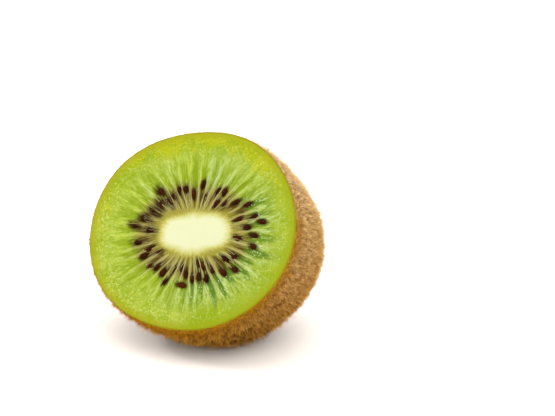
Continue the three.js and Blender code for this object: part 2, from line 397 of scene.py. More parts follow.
class Seeds:
    """Places and sizes of the seeds, by the same rule as in the solid."""

    # What the draws are for. The solid has the first six, in this order.
    purposes = ("spread", "yaw", "slim", "short", "aside", "second", "tilt")
    # The seeds lie in their chambers, this far below the swollen face.
    sink = 0.22 * MM

    def __init__(self, fruit, look, chambers):
        self.look = look
        self.index, self.angle, self.distance, self.yaw = [], [], [], []
        for i in range(chambers):
            reach = 1 + look.spread * self.either_way(i, "spread")
            self.add(i, self.chamber_angle(i, i, chambers), reach)
            step = look.second_step if reach < 1 else -look.second_step
            if self.draw(i, "second") < look.second_share:
                self.add(chambers + i, self.chamber_angle(i, chambers + i, chambers), reach + step)
        self.add(2 * chambers, look.loose_angle, look.loose_share, look.loose_yaw)
        self.angle, self.distance, self.yaw = map(np.array, (self.angle, self.distance, self.yaw))
        slim, short = self.varied(look.slimmest, "slim"), self.varied(look.shortest, "short")
        self.length, self.width = look.seed_length * short, look.seed_width * slim
        self.thickness = look.seed_thickness * slim
        self.middle = fruit.face(self.angle, self.distance, fruit.swollen(self.angle, self.distance))
        self.middle[:, 2] += self.thickness * (look.shows - 0.5) - self.sink

    def draw(self, index, purpose):
        """The same number from 0 to 1 for the same seed and purpose, as in the solid."""
        order = 1 + self.purposes.index(purpose)
        wave = math.sin(index * 12.9898 + order * 78.233 + self.look.scatter / 100) * 43758.5453
        return wave - math.floor(wave)

    def either_way(self, index, purpose):
        return 2 * self.draw(index, purpose) - 1

    def varied(self, least, purpose):
        """A share for each seed, from the least one to 1."""
        return np.array([least + (1 - least) * self.draw(i, purpose) for i in self.index])

    def chamber_angle(self, i, index, chambers):
        return TURN * (i + 0.5 + self.look.side_spread * self.either_way(index, "aside")) / chambers

    def add(self, index, at, reach, yaw=None):
        a, b = self.look.ring_width / 2, self.look.ring_height / 2
        self.index.append(index)
        self.angle.append(at)
        self.distance.append(reach * a * b / math.hypot(b * math.cos(at), a * math.sin(at)))
        self.yaw.append(self.look.yaw * self.either_way(index, "yaw") if yaw is None else yaw)

    def nearness(self, points, longer=0, wider=0):
        """For points of the face, 0 at a seed's middle and 1 at its outline grown by two lengths."""
        turn = self.angle + self.yaw
        dx = points[..., 0, None] - self.middle[:, 0]
        dy = points[..., 1, None] - self.middle[:, 1]
        along = dx * np.cos(turn) + dy * np.sin(turn)
        beside = dy * np.cos(turn) - dx * np.sin(turn)
        return np.hypot(along / (self.length / 2 + longer), beside / (self.width / 2 + wider))

    def top(self, points):
        """Height of the highest seed over points of the face, and well below the face beside the seeds."""
        near = self.nearness(points)
        dome = self.middle[:, 2] + self.thickness / 2 * np.sqrt(np.clip(1 - near**2, 0, 1))
        return np.where(near < 1, dome, -1).max(-1)


def new_fruit(context):
    return Fruit(context.scene.kiwi_form)


def new_seeds(context, fruit):
    return Seeds(fruit, context.scene.kiwi_seeds, context.scene.kiwi_flesh.chambers)


# ---- meshes

# A direction that no thread, stub or hair follows, to set the sides of a strand off from.
ASIDE = (0.31, 0.52, 0.79)


def ring_triangles(rows, columns, first=0):
    """Triangles between rings of points, each ring after the other."""
    row, column = np.meshgrid(np.arange(rows - 1), np.arange(columns), indexing="ij")
    here = first + row * columns + column
    beside = first + row * columns + (column + 1) % columns
    below, across = here + columns, beside + columns
    halves = (here, below, across), (here, across, beside)
    return np.concatenate([np.stack(half, -1) for half in halves]).reshape(-1, 3)


def fan_triangles(middle, first, columns, inwards):
    """Triangles from one point to a ring."""
    i = np.arange(columns)
    fan = np.stack([np.full(columns, middle), first + i, first + (i + 1) % columns], -1)
    return fan[:, ::-1] if inwards else fan


def closed_triangles(rings, columns):
    """A closed surface of a first point, rings and a last point."""
    last = 1 + rings * columns
    return np.concatenate([
        fan_triangles(0, 1, columns, False),
        ring_triangles(rings, columns, 1),
        fan_triangles(last, last - columns, columns, True),
    ])


def copies(triangles, points_each, number):
    """The triangles of a number of like forms, whose points follow each other."""
    return (triangles[None] + points_each * np.arange(number)[:, None, None]).reshape(-1, 3)


def strands(paths, radii, sides):
    """Tapered strands along paths: a ring of points at each station and one point at the tip."""
    number, stations = paths.shape[:2]
    ahead = unit(np.gradient(paths, axis=1))
    side = unit(np.cross(ahead, ASIDE))
    other = np.cross(ahead, side)
    corners = np.stack([side * math.cos(a) + other * math.sin(a) for a in round_angles(sides)], 2)
    rings = paths[:, :-1, None] + radii[:, :, None, None] * corners[:, :-1]
    points = np.concatenate([rings.reshape(number, -1, 3), paths[:, -1:]], 1)
    tip = sides * (stations - 1)
    one = np.concatenate([
        [(0, k + 1, k) for k in range(1, sides - 1)],
        ring_triangles(stations - 1, sides)[:, ::-1],
        fan_triangles(tip, tip - sides, sides, False),
    ])
    return points.reshape(-1, 3), copies(one, tip + 1, number)


def new_piece(name, points, triangles, material, slot, **attributes):
    """A smooth shaded mesh of triangles that stands for the solid and rides with it."""
    mesh = bpy.data.meshes.new(name)
    mesh.vertices.add(len(points))
    mesh.vertices.foreach_set("co", np.ascontiguousarray(points, np.float32).ravel())
    mesh.loops.add(triangles.size)
    mesh.loops.foreach_set("vertex_index", np.ascontiguousarray(triangles, np.int32).ravel())
    mesh.polygons.add(len(triangles))
    mesh.polygons.foreach_set("loop_start", np.arange(0, triangles.size, 3, dtype=np.int32))
    mesh.update(calc_edges=True)
    mesh.polygons.foreach_set("use_smooth", np.ones(len(triangles), bool))
    for key, values in attributes.items():
        kind, field = ("FLOAT_VECTOR", "vector") if values.ndim == 2 else ("FLOAT", "value")
        made = mesh.attributes.new(key, kind, "POINT")
        made.data.foreach_set(field, np.ascontiguousarray(values, np.float32).ravel())
    mesh.materials.append(material)
    piece = bpy.data.objects.new(name, mesh)
    bpy.context.scene.collection.objects.link(piece)
    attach(piece, BODY)
    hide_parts(NODE)


# ---- shader sums


class Sum:
    """A node's output in Python sums: each operator adds one Math node."""

    def __init__(self, shader, output):
        self.shader, self.output = shader, output

    def math(self, operation, *values):
        return self.shader.node("ShaderNodeMath", {"operation": operation}, dict(enumerate(values)))

    def __add__(self, other):
        return self.math("ADD", self, other)

    def __sub__(self, other):
        return self.math("SUBTRACT", self, other)

    def __rsub__(self, other):
        return self.math("SUBTRACT", other, self)

    def __mul__(self, other):
        return self.math("MULTIPLY", self, other)

    __radd__, __rmul__ = __add__, __mul__

    def clipped(self):
        return self.shader.node("ShaderNodeClamp", {}, {"Value": self})

    def rough(self, noise, amount):
        """The value moved up and down by a noise, to break up a border."""
        return self + (noise - 0.5) * amount

    def step(self, low, high):
        """0 at low, 1 at high and a soft step between them."""
        if low > high:
            return 1 - self.step(high, low)
        inputs = {"Value": self, "From Min": low, "From Max": high}
        return self.shader.node("ShaderNodeMapRange", {"interpolation_type": "SMOOTHSTEP"}, inputs)


class Shader:
    """A material made of nodes"""

    def __init__(self, name):
        self.material = bpy.data.materials.new(name)
        self.material.use_nodes = True
        self.tree = self.material.node_tree
        self.tree.nodes.clear()

    def node(self, kind, settings, inputs, output=0):
        """Any node: its settings, then the values or links of its sockets."""
        made = self.tree.nodes.new(kind)
        for key, value in settings.items():
            setattr(made, key, value)
        for key, value in inputs.items():
            if isinstance(value, Sum):
                self.tree.links.new(value.output, made.inputs[key])
            elif made.inputs[key].type == "RGBA":
                made.inputs[key].default_value = (*value[:3], 1)
            else:
                made.inputs[key].default_value = value
        return Sum(self, made.outputs[output])

    def attribute(self, name, output="Fac"):
        return self.node("ShaderNodeAttribute", {"attribute_name": name}, {}, output)

    def place(self):
        return self.node("ShaderNodeTexCoord", {}, {}, "Object")

    def height(self):
        """Metres above the ground."""
        return self.node("ShaderNodeSeparateXYZ", {}, {0: self.place()}, 2)

    def noise(self, vector, scale, detail=2.0, roughness=0.5):
        inputs = {"Vector": vector, "Scale": scale, "Detail": detail, "Roughness": roughness}
        return self.node("ShaderNodeTexNoise", {}, inputs)

    def cells(self, vector, scale):
        return self.node("ShaderNodeTexVoronoi", {}, {"Vector": vector, "Scale": scale})

    def mix(self, low, high, factor):
        """From one colour to another."""
        return self.node("ShaderNodeMix", {"data_type": "RGBA"}, {0: factor, 6: low, 7: high}, 2)

    def cover(self, base, *layers):
        """A colour under layers, each of them a colour and how much it covers what lies below."""
        for layer, share_covered in layers:
            base = self.mix(base, layer, share_covered)
        return base

    def bump(self, height, distance, strength):
        return self.node("ShaderNodeBump", {}, {"Height": height, "Distance": distance, "Strength": strength})

    def finish(self, **inputs):
        """The Principled shader and the output: underscores stand for the spaces of a socket's name."""
        named = {key.replace("_", " "): value for key, value in inputs.items()}
        surface = self.node("ShaderNodeBsdfPrincipled", {}, named)
        self.tree.links.new(surface.output, self.tree.nodes.new("ShaderNodeOutputMaterial").inputs["Surface"])
        return self.material


# ---- flesh


def flesh_material(look):
    shader = Shader("flesh")
    names = ("outward", "beyond", "chamber", "wall", "tone", "halo", "ripe")
    outward, beyond, chamber, wall, tone, halo, ripe = (shader.attribute(name) for name in names)
    # Grain along the rays, from coarse to fine.
    spoke = shader.attribute("spoke", "Vector")
    fibre = shader.noise(spoke, 1.0, 3.0, 0.6)
    strand = shader.noise(spoke, 1.5, 3.0, 0.65)
    fine = shader.noise(spoke, 2.4, 2.0, 0.6)
    frost = shader.noise(spoke, 5.5, 2.0, 0.6)
    # Grain without a direction, from coarse to fine.
    place = shader.place()
    patch = shader.noise(place, 150, 3.0)
    blotch = shader.noise(place, 420, 2.0)
    grain = shader.noise(place, 1500, 3.0, 0.7)
    mottle = shader.noise(place, 2600, 1.0)

    riper = blotch.step(0.42, 0.66) * 0.35 + ripe * 1.5 * outward.rough(patch, 0.5).step(0.72, 0.86)
    lime = shader.mix(look.outer, look.outer_cool, tone.step(0.55, 0.9))
    lime = shader.mix(lime, look.yellow, riper.clipped())
    bright = grain * 3.4 + mottle * 1.4 + patch * 3.6 + blotch * 1.6 - 4.4
    outer = shader.mix(look.outer_deep, lime, bright.clipped())
    edge = shader.mix(look.edge, look.edge_cool, tone.step(0.3, 0.85))
    ray = shader.mix(look.ray_ripe, look.ray, tone.step(0.2, 0.7))
    green = shader.mix(look.jelly, look.jelly_deep, tone.step(0.45, 0.9))
    jelly = shader.mix(look.jelly_inner, green, outward.rough(fine, 0.25).step(0.22, 0.42))

    light, dark = strand.step(0.50, 0.66), strand.step(0.50, 0.34)
    fibrous = outward.step(0.12, 0.32) * outward.step(0.95, 0.65)
    tissue = shader.cover(
        look.tissue,
        (ray, (wall * 0.8 + light * 0.7 + fibre.step(0.45, 0.7) * 0.4).clipped()),
        (green, dark * fibrous * 0.85),
        # Painted glints along the pale walls and streaks.
        (look.wet_glint, frost.step(0.55, 0.72) * (wall + light) * fibrous * (tone * 0.45 + 0.1)),
    )
    tissue = shader.mix(look.stem, tissue, outward.rough(fibre, 0.3).step(0.22, 0.42))

    grains = mottle.step(0.48, 0.68) * grain.step(0.42, 0.62) * (0.85 - ripe * 0.35 - tone * 0.3)
    clear = chamber * (1.1 + tone * 0.4 + dark * 0.5) - light * 0.45 - frost.step(0.5, 0.7) * 0.4
    streak = clear.clipped()
    # Darkening round the seeds, broken by the grain: partly stain, partly painted shade.
    stain = halo - fine.step(0.5, 0.75) * 0.45 - strand.step(0.5, 0.7) * 0.3
    thread = fine.step(0.60, 0.72) * beyond.step(5.0, 1.5) * beyond.step(-1.0, 0.4)
    into = beyond + fibre + strand * 2.2 + fine * 1.6 - 2.4
    # Painted glints between the seeds, and on drops of juice in the chambers.
    glint = frost.step(0.60, 0.72) * beyond.step(1.0, 2.5) * outward.step(0.34, 0.26) * strand.step(0.48, 0.6)
    drops = shader.cells(place, 1700).step(0.32, 0.16) * streak * tone.step(0.45, 0.85)
    base = shader.cover(
        tissue,
        (outer, outward.rough(fibre, 0.6).step(0.60, 0.86)),
        (look.granule, grains * outward.step(0.45, 0.7) * outward.step(1.02, 0.88)),
        (edge, outward.rough(patch, 0.08).step(0.86, 0.97) * 0.8),
        (look.rind, outward.rough(patch, 0.03).step(0.965, 1.0) * 0.6),
        (jelly, streak),
        (look.inner, beyond.rough(fibre, 2.4).step(3.0, 0.6) * 0.8),
        # Stain and painted shade round the seeds.
        (look.halo, stain.clipped()),
        (look.thread, thread * 0.5),
        (look.pith_edge, into.step(0.7, -1.0)),
        (look.pith, into.step(-0.2, -2.3)),
        # Painted glints, laid over everything else.
        (look.wet_glint, glint * 0.45),
        (look.wet_glint, drops * outward.step(0.3, 0.42) * fibre.step(0.4, 0.6) * 0.8),
    )
    relief = grain * 0.7 + strand * outward.step(0.8, 0.4) * beyond.step(-1.5, 0.5) * 0.8 + mottle * 0.5
    return shader.finish(
        Base_Color=base,
        Roughness=0.46 - chamber * 0.28 + grain * 0.1,
        Specular_IOR_Level=0.07,
        Specular_Tint=look.shine,
        Coat_Weight=(chamber * 0.08 + shader.cells(place, 1300).step(0.3, 0.1) * 0.1).clipped(),
        Coat_Roughness=0.08,
        Normal=shader.bump(relief, 0.2 * MM, 0.8),
        Subsurface_Weight=0.2,
        Subsurface_Radius=(1.0, 0.9, 0.3),
        Subsurface_Scale=0.5 * MM,
    )


class KIWI_OT_flesh(Operator):
    """Cut face with pith, rays and seed chambers, closed below by the surface under the skin"""

    bl_idname = "kiwi.flesh"
    bl_label = "Flesh"

    columns = 720
    pith_rings = 14
    flesh_rings = 106
    under_rows = 9
    # How far the darkening round a seed reaches, stain and painted shade together, along it and beside it: on
    # the stained side, and elsewhere.
    stain_reach = (2.4 * MM, 1.4 * MM)
    halo_reach = (1.3 * MM, 0.55 * MM)
    # How often the grain of the rays changes: times round the fruit by its radius, and times a millimetre.
    ray_grain = (24, 0.3)

    def execute(self, context):
        look, fruit = context.scene.kiwi_flesh, new_fruit(context)
        cut, seeds = Cut(fruit, look), new_seeds(context, fruit)
        thickness, zero = context.scene.kiwi_skin.thickness, np.zeros(1)
        angles = round_angles(self.columns)
        core = fruit.core(angles)
        inner = np.linspace(0, 1, self.pith_rings + 1)[1:, None] * core
        width = fruit.rim(angles) - thickness - core
        outer = core + np.linspace(0, 1, self.flesh_rings + 1)[1:, None] * width
        distance = np.concatenate([inner, outer])
        at = np.broadcast_to(angles, distance.shape)
        top = fruit.face(at, distance, cut.height(at, distance))
        middle = fruit.face(zero, zero, fruit.swollen(zero, zero))
        under_row, under_at = grid(np.linspace(0, 1, self.under_rows + 1)[1:-1], self.columns)
        under = fruit.skin(under_at, under_row, thickness)
        points = np.concatenate([middle, top.reshape(-1, 3), under.reshape(-1, 3), fruit.tip(thickness)])
        below = len(points) - 1 - distance.size

        def spread(values, first=0, rest=0):
            return np.concatenate([[first], values.ravel(), np.full(below, rest)])

        chamber, wall, tone = cut.masks(at, distance)
        # Darkening round the seeds, longer on the stained side: partly stain, partly painted shade.
        stain = smooth(1, 0.3, seeds.nearness(top, *self.stain_reach)).max(-1)
        stain *= 1.2 * np.clip(np.cos(at - look.stained_side), 0, 1) ** 3
        halo = np.maximum(smooth(1, 0.4, seeds.nearness(top, *self.halo_reach)).max(-1), stain)
        beyond = (distance - core * (1 + wave_sum(PITH_WAVES, at))) / MM
        ripe = (0.5 + 0.5 * np.cos(at - look.ripe_side)) ** 3
        across, along = self.ray_grain
        spoke = np.stack([across * np.cos(at), across * np.sin(at), along * distance / MM], -1)
        new_piece(
            "flesh",
            fruit.place(points),
            closed_triangles(len(distance) + self.under_rows - 1, self.columns),
            flesh_material(look),
            "flesh",
            outward=spread(fruit.outward(at, distance), -1, 1),
            beyond=spread(beyond, -5, 20),
            chamber=spread(chamber),
            wall=spread(wall),
            tone=spread(tone),
            halo=spread(halo),
            ripe=spread(ripe),
            spoke=np.concatenate([np.zeros((1, 3)), spoke.reshape(-1, 3), np.zeros((below, 3))]),
        )
        return {"FINISHED"}


# ---- threads


def thread_material(look):
    shader = Shader("thread")
    tone, along = shader.attribute("tone"), shader.attribute("along")
    base = shader.cover(
        look.thread,
        (look.pith_edge, (1 - along * 2.2).clipped() * 0.7),
        (look.inner, tone.step(0.3, 1.0) * 0.6),
        (look.ray, along.step(0.55, 1.0) * 0.8),
    )
    return shader.finish(
        Base_Color=base,
        Roughness=0.42,
        Specular_IOR_Level=0.15,
        Subsurface_Weight=0.3,
        Subsurface_Radius=(1.0, 0.8, 0.4),
        Subsurface_Scale=0.4 * MM,
    )


class KIWI_OT_threads(Operator):
    """Fine pale threads from the pith across the seeds, as a cut chamber shows them"""

    bl_idname = "kiwi.threads"
    bl_label = "Threads"

    between = 160
    stations = 15
    sides = 6
    # Radius and end, as a share of the way to the skin, of the threads on the walls and of those between.
    radii = (0.06 * MM, 0.12 * MM), (0.03 * MM, 0.07 * MM)
    ends = (0.40, 0.62), (0.16, 0.42)
    # Share of the threads between the walls that run over the seeds.
    over_seeds = 0.3

    def execute(self, context):
        look, fruit = context.scene.kiwi_flesh, new_fruit(context)
        cut, seeds = Cut(fruit, look), new_seeds(context, fruit)
        rng, number = np.random.default_rng(5), look.chambers + self.between
        on_wall = (np.arange(number) < look.chambers)[:, None]

        def draw(wall, between):
            return np.where(on_wall, rng.uniform(*wall, (number, 1)), rng.uniform(*between, (number, 1)))

        along = np.linspace(0, 1, self.stations)
        start = np.concatenate([cut.walls[1:-2], rng.uniform(0, TURN, self.between)])[:, None]
        begin = np.where(on_wall, cut.begin, rng.uniform(0.0, 0.10, (number, 1)))
        outward = begin + (draw(*self.ends) - begin) * along
        drift = np.where(on_wall, 0, rng.normal(0, 0.15, (number, 1)) * TURN / look.chambers)
        at = start + drift * along - cut.bend(start, outward)
        core = fruit.core(at)
        distance = core + outward * (fruit.rim(at) - core)
        thick = draw(*self.radii) * (1 - 0.6 * np.clip(np.cos(start - look.stained_side), 0, 1) ** 2)
        radius = thick * np.sin(math.pi * (0.15 + 0.8 * along[:-1])) ** 0.5
        points = fruit.face(at, distance, cut.height(at, distance))
        over = (rng.uniform(0.0, 1.0, (number, 1)) > 1 - self.over_seeds) & ~on_wall
        points[..., 2] = np.maximum(points[..., 2], np.where(over, seeds.top(points), -1))
        points[:, :-1, 2] += 0.1 * radius
        mesh_points, triangles = strands(points, radius, self.sides)
        along = [*np.repeat(along[:-1], self.sides), 1]
        new_piece(
            "threads",
            fruit.place(mesh_points),
            triangles,
            thread_material(look),
            "flesh",
            along=np.tile(along, number),
            tone=np.repeat(rng.random(number), len(along)),
        )
        return {"FINISHED"}


# ---- seeds


def seed_material(look):
    shader = Shader("seed")
    place, tone = shader.place(), shader.attribute("tone")
    # Redder patches and a tone for each seed, partly painted highlight.
    lit = shader.noise(place, 900, 2.0).step(0.48, 0.72) * 0.5 + tone * 0.5
    pits = shader.noise(place, 5200, 2.0)
    return shader.finish(
        Base_Color=shader.mix(look.shell, look.shell_lit, lit.clipped()),
        Roughness=0.26 + pits * 0.2,
        Specular_IOR_Level=0.07,
        Specular_Tint=look.shine,
        Normal=shader.bump(pits, 0.05 * MM, 0.5),
    )


class KIWI_OT_seeds(Operator):
    """Dark seeds half sunk in their chambers, drops with their narrow ends towards the pith"""

    bl_idname = "kiwi.seeds"
    bl_label = "Seeds"

    sides = 20
    bands = 14
    most_tilt = 0.15
    # Reddest shell of a seed in its chamber, and the shell of the loose seed, partly painted highlight.
    reddest, loose_red = 0.8, 1.6

    def execute(self, context):
        look, fruit = context.scene.kiwi_seeds, new_fruit(context)
        seeds = new_seeds(context, fruit)
        down, at = grid(np.linspace(0, math.pi, self.bands + 1)[1:-1], self.sides)
        along = -np.cos(down) / 2
        away = np.sin(down) * (1 + look.taper * 2 * along) / 2
        drop = np.stack([along, away * np.cos(at), away * np.sin(at)], -1)
        drop = np.concatenate([[[-0.5, 0, 0]], drop.reshape(-1, 3), [[0.5, 0, 0]]])
        points = []
        for k, middle in enumerate(seeds.middle):
            size = (seeds.length[k], seeds.width[k], seeds.thickness[k])
            tilt = self.most_tilt * seeds.either_way(seeds.index[k], "tilt")
            turn = Matrix.Rotation(seeds.angle[k] + seeds.yaw[k], 3, "Z") @ Matrix.Rotation(tilt, 3, "Y")
            points.append((drop * size) @ np.array(turn).T + middle)
        one = closed_triangles(self.bands - 1, self.sides)[:, ::-1]
        tone = np.random.default_rng(8).uniform(0, self.reddest, len(points))
        tone[-1] = self.loose_red
        new_piece(
            "seeds",
            fruit.place(np.concatenate(points)),
            copies(one, len(drop), len(points)),
            seed_material(look),
            "seed",
            tone=np.repeat(tone, len(drop)),
        )
        return {"FINISHED"}


# ---- skin and scar


def near_cut(depth, at):
    """1 at the cut edge and fading down the skin, further on the fruit's lower side."""
    reach = (0.5 + 4.0 * (0.5 - 0.5 * np.sin(at)) ** 2) * MM
    return 0.75 * smooth(reach, 0.1 * reach, depth) + 0.25 * smooth(2.5 * reach, 0, depth)


def skin_material(look):
    shader = Shader("skin")
    place, height = shader.place(), shader.height()
    patch = shader.noise(place, 160, 3.0)
    freckle = shader.cells(place, 900)
    wrinkles = shader.noise(place, 1400, 3.0)
    lip = shader.mix(look.lip, look.lip_light, shader.noise(place, 420, 2.0).step(0.45, 0.7))
    base = shader.cover(
        look.base,
        # Dark patches, and painted shade from 16 mm above the ground down to 2 mm.
        (look.dark, (patch.step(0.48, 0.72) * 0.6 + height.step(16 * MM, 2 * MM)).clipped()),
        (look.dark, freckle.step(0.22, 0.05) * 0.8),
        (look.warm, shader.attribute("near") * 0.85),
        (lip, shader.attribute("cut")),
    )
    return shader.finish(
        Base_Color=base,
        Roughness=0.62 + patch * 0.2,
        Specular_IOR_Level=0.03,
        Normal=shader.bump(wrinkles + freckle * 0.4, 0.18 * MM, 0.8),
    )


class KIWI_OT_skin(Operator):
    """Thin brown skin with its cut edge, down to the tail"""

    bl_idname = "kiwi.skin"
    bl_label = "Skin"

    columns = 240
    rows = 90
    inner_rows = 12
    lip_rings = 3
    # How far the cut edge bulges, and how far down the skin its colour reaches and starts to fade.
    bead = 0.06 * MM
    lip_reach, lip_full = 0.6 * MM, 0.1 * MM

    def execute(self, context):
        look, fruit = context.scene.kiwi_skin, new_fruit(context)
        inner_row, at = grid(np.linspace(1, 0, self.inner_rows + 1)[1:], self.columns)
        inner = fruit.skin(at, inner_row, look.thickness)
        across, at = grid(np.linspace(0, 1, self.lip_rings + 2)[1:-1], self.columns)
        bulge = self.bead * np.sin(math.pi * across) * (1 + 0.6 * np.sin(41 * at) * np.sin(13 * at + 1))
        lip = fruit.face(at, fruit.rim(at) - look.thickness * (1 - across), bulge)
        outer_row, at = grid(np.linspace(0, 1, self.rows + 1)[:-1] ** 2, self.columns)
        rings = np.concatenate([inner, lip, fruit.skin(at, outer_row)])
        points = np.concatenate([fruit.tip(look.thickness), rings.reshape(-1, 3), fruit.tip()])
        depth, inside = fruit.depth(outer_row), np.ones((self.inner_rows + self.lip_rings, self.columns))

        def spread(outside):
            return np.concatenate([[1], inside.ravel(), outside.ravel(), [0]])

        new_piece(
            "skin",
            fruit.place(points),
            closed_triangles(len(rings), self.columns),
            skin_material(look),
            "skin",
            cut=spread(smooth(self.lip_reach, self.lip_full, depth)),
            near=spread(near_cut(depth, at)),
        )
        return {"FINISHED"}


def scar_material(look):
    shader = Shader("scar")
    crust = shader.noise(shader.place(), 2600, 4.0, 0.65)
    worn = shader.attribute("ridge") * 0.8 + crust * 0.9 - 0.55
    return shader.finish(
        Base_Color=shader.mix(look.scar, look.scar_light, worn.clipped()),
        Roughness=0.85,
        Specular_IOR_Level=0.04,
        Normal=shader.bump(crust, 0.2 * MM, 0.9),
    )


class KIWI_OT_scar(Operator):
    """Dry button at the tail with a worn rim, and the stubs of the flower"""

    bl_idname = "kiwi.scar"
    bl_label = "Scar"

    columns = 96
    rings = 26
    stubs = 34
    # The button's radius by the solid's, and the place and width of its worn rim by its radius.
    reach, rim_share, rim_width = 1.12, 0.72, 0.13
    rim_height, middle_height, fold_height = 0.42 * MM, 0.12 * MM, 0.07 * MM
    # How deep the button's edge and its underside go into the skin.
    edge_sink, underside = 0.5 * MM, 0.9 * MM
    stub_sides, stub_stations, stub_sink = 6, 5, 0.2 * MM
    stub_radius = (0.06 * MM, 0.13 * MM)
    stub_length = (0.6 * MM, 1.7 * MM)
    stub_bend = (0.2, 1.1)

    def execute(self, context):
        look, form, fruit = context.scene.kiwi_skin, context.scene.kiwi_form, new_fruit(context)
        rng, stubs = np.random.default_rng(31), self.stubs
        tail = fruit.tip()[0, 2]
        out, at = grid(np.linspace(0, 1, self.rings + 1)[1:], self.columns)
        fold = np.sin(9 * at + 4 * out) * np.sin(5 * at - 2) + 0.6 * np.sin(17 * at + 9 * out)
        ridge = np.exp(-(((out - self.rim_share) / self.rim_width) ** 2))
        raised = self.rim_height * ridge + self.middle_height * np.exp(-((out / 0.3) ** 2))
        raised += self.fold_height * fold * smooth(0, 0.5, out) - self.edge_sink * out**6
        away = form.scar_radius * self.reach * out * (1 + 0.05 * np.sin(3 * at + 1) + 0.03 * np.sin(7 * at))
        button = np.stack([away * np.cos(at), away * np.sin(at), tail - raised], -1)[::-1]
        under = button[:1] + (0, 0, self.edge_sink)
        first, last = ([[0, 0, tail + inwards]] for inwards in (self.underside, -self.middle_height))
        points = np.concatenate([first, under.reshape(-1, 3), button.reshape(-1, 3), last])
        triangles = closed_triangles(self.rings + 1, self.columns)
        worn = np.concatenate([np.zeros(1 + self.columns), ridge[::-1].ravel(), [0.2]])

        spot, away = rng.uniform(0, TURN, stubs), form.scar_radius * rng.uniform(0.05, 0.75, stubs)
        foot = np.stack([away * np.cos(spot), away * np.sin(spot), np.full(stubs, tail + self.stub_sink)], -1)
        lean = np.stack([np.cos(spot + rng.normal(0, 0.8, stubs)), np.sin(spot), np.zeros(stubs)], -1)
        tall, bend = (rng.uniform(*span, (stubs, 1, 1)) for span in (self.stub_length, self.stub_bend))
        rise = np.linspace(0, 1, self.stub_stations)[:, None]
        paths = foot[:, None] + tall * (bend * rise**2 * lean[:, None] - rise * (0, 0, 1))
        radii = rng.uniform(*self.stub_radius, (stubs, 1)) * np.linspace(1, 0.6, self.stub_stations - 1)
        stub_points, stub_triangles = strands(paths, radii, self.stub_sides)
        new_piece(
            "tail_scar",
            fruit.place(np.concatenate([points, stub_points])),
            np.concatenate([triangles, stub_triangles + len(points)]),
            scar_material(look),
            "skin",
            ridge=np.concatenate([worn, np.full(len(stub_points), 0.5)]),
        )
        return {"FINISHED"}


# ---- fuzz


def fuzz_material(look):
    shader = Shader("fuzz")
    tone, along, rim = (shader.attribute(name) for name in ("tone", "along", "rim"))
    height = shader.height()
    patch = shader.noise(shader.place(), 260, 3.0)
    # Paler towards the tips and at random, and painted light on the hairs from 16 mm to 44 mm above the
    # ground.
    paler_and_lit_above = along * 0.7 + tone + patch * 0.6 + height.step(16 * MM, 44 * MM) * 0.35 - 0.5
    # Painted warm bounce light near the ground, paler on the tips and on the paler hairs.
    golden = shader.mix(look.below, look.ground_bounce_tip, (tone * 1.2 + along * 0.5 - 0.7).clipped())
    # Painted shade in the gaps between hairs: deepest at the roots and on the darker hairs, and darker still
    # in patches near the ground.
    gap_shade = (1.3 - along - tone * 0.7).clipped() + patch.step(0.5, 0.4) * height.step(9 * MM, 3 * MM) * 0.5
    # Next to the cut, the orange hairs give way to the painted highlight towards the top.
    edge = shader.mix(look.near_cut, look.top_highlight, height.step(30 * MM, 40 * MM) * 0.8)
    base = shader.cover(
        look.root,
        (look.tip, paler_and_lit_above.clipped()),
        # Painted highlight on the hairs towards the top.
        (look.top_highlight, height.step(29 * MM, 42 * MM) * (along * 0.6 + tone * 0.7).clipped()),
        # Painted warm bounce light, then painted shade, on the hairs near the ground.
        (golden, height.step(28 * MM, 4 * MM) * 0.9),
        (look.shade, (height.step(24 * MM, 3 * MM) * gap_shade).clipped()),
        (edge, rim * (1 - tone * 0.3)),
    )
    return shader.finish(Base_Color=base, Roughness=0.6, Specular_IOR_Level=0.03)


def scatter(fruit, number, rng):
    """Roots spread evenly over the skin, with their normals, their ways to the tail, rows and angles."""
    columns, rows = 240, 120
    # The first hairs stand just below the cut edge, and the middle of the scar stays bare.
    row, at = grid(np.linspace(0.0003, 0.985, rows), columns)
    points = fruit.place(fruit.skin(at, row)).reshape(-1, 3)
    corners = ring_triangles(rows, columns).T
    a, b, c = (points[corner] for corner in corners)
    cross = np.cross(b - a, c - a)
    area = np.linalg.norm(cross, axis=1)
    pick = rng.choice(len(area), number, p=area / area.sum())
    u, v = rng.random((2, number, 1))
    u, v = np.where(u + v > 1, 1 - u, u), np.where(u + v > 1, 1 - v, v)
    a, b, c = a[pick], b[pick], c[pick]
    roots, normals = a + u * (b - a) + v * (c - a), unit(cross[pick])
    tail = fruit.turn @ np.array((0, 0, -1.0))
    tailward = unit(tail - (normals @ tail)[:, None] * normals)
    corner = corners[0][pick]
    return roots, normals, tailward, row.ravel()[corner], at.ravel()[corner]


